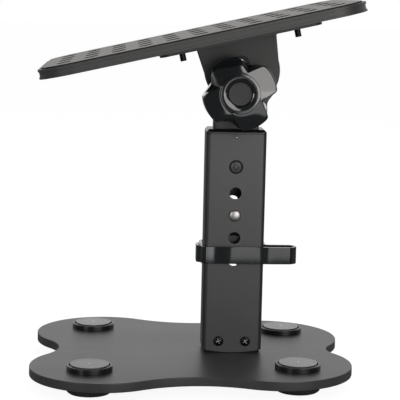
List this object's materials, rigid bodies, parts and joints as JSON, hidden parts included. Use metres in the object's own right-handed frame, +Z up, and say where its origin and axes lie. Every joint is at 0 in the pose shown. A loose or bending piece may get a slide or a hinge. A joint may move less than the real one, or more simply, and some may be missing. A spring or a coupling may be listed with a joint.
{
  "type": "desktop monitor speaker stand",
  "caption": "Desktop stand with a heavy lobed base plate on rubber feet, a height-adjustable rectangular column and a slotted, rubber-topped platform that tilts and is clamped by a lobed knob.",
  "frame": {"origin": "on the floor, at the centre of the base plate's footprint", "axes": "+Z up the column, +X along the base towards the column's side and the platform's raised end, +Y across the base away from the clamp knob"},
  "size_m": [0.21, 0.191, 0.251],
  "materials": {
    "base_coat": "satin powder coat",
    "tube_coat": "satin powder coat",
    "bracket_coat": "matte powder coat",
    "tray_coat": "satin powder coat",
    "pad_rubber": "matte, finely textured",
    "foot_rubber": "matte",
    "foot_disc": "satin",
    "black_plastic": "satin moulded",
    "gloss_plastic": "gloss moulded",
    "knob_cap": "matte moulded",
    "zinc_steel": "bright zinc plate",
    "black_steel": "black oxide, slightly oily",
    "bright_steel": "polished",
    "spring_steel": "bright strip",
    "brass": "machined"
  },
  "bodies": {
    "stand": {"base_plate": "base_coat", "foot_pads": "foot_rubber", "foot_inserts": "zinc_steel", "foot_cups": "black_plastic", "foot_screws": "zinc_steel", "foot_discs": "foot_disc", "column_socket": "black_steel", "socket_bolts": "black_steel", "column_tube": "tube_coat", "column_screws": "black_steel", "guide_collar": "black_plastic", "lock_nut": "black_steel", "lock_screw": "tube_coat"},
    "mast": {"mast_tube": "tube_coat", "mast_glide": "black_plastic", "mast_plug": "black_plastic", "button_leaf": "spring_steel", "friction_washers": "black_plastic", "pivot_rivet": "black_steel", "clamp_bolt": "black_steel", "rear_washer": "black_steel"},
    "button": {"snap_button": "bright_steel"},
    "platform": {"tilt_yoke": "bracket_coat", "yoke_rivets": "black_steel", "support_plate": "bracket_coat", "platform_spacers": "zinc_steel", "platform_screws": "black_steel", "platform_tray": "tray_coat", "platform_pad": "pad_rubber"},
    "clamp_face": {"front_washer": "black_steel"},
    "knob": {"knob_body": "gloss_plastic", "knob_insert": "brass", "knob_cap": "knob_cap"},
    "clip": {"clip_body": "gloss_plastic"},
    "gate": {"clip_gate": "gloss_plastic"}
  },
  "joints": [
    {"name": "mast_height", "type": "slide", "parent": "stand", "child": "mast", "axis": [0, 0, 1], "range_m": [-0.015, 0.015], "deforming": ["snap_button", "button_leaf"]},
    {"name": "platform_tilt", "type": "hinge", "parent": "mast", "child": "platform", "pos_m": [0.03, 0, 0.208], "axis": [0, -1, 0], "range_deg": [-33, 7]},
    {"name": "knob_turn", "type": "hinge", "parent": "mast", "child": "clamp_face", "pos_m": [0.028, 0, 0.1895], "axis": [0, -1, 0], "range_deg": [0, 360]},
    {"name": "knob_backoff", "type": "slide", "parent": "clamp_face", "child": "knob", "axis": [0, -1, 0], "range_m": [0, 0.00125]},
    {"name": "button_press", "type": "slide", "parent": "mast", "child": "button", "axis": [0, 1, 0], "range_m": [0, 0.0035], "stiffness_N_per_m": 1500, "springref_m": -0.002, "deforming": ["button_leaf"]},
    {"name": "clip_height", "type": "slide", "parent": "stand", "child": "clip", "axis": [0, 0, 1], "range_m": [-0.045, 0]},
    {"name": "clip_gate", "type": "hinge", "parent": "clip", "child": "gate", "pos_m": [0.0644, -0.0137, 0.0812], "axis": [0, 0, 1], "range_deg": [0, 85]}
  ],
  "couplings": [
    {"joint": "knob_backoff", "follows": "knob_turn", "m_per_rad": 0.00019894}
  ]
}
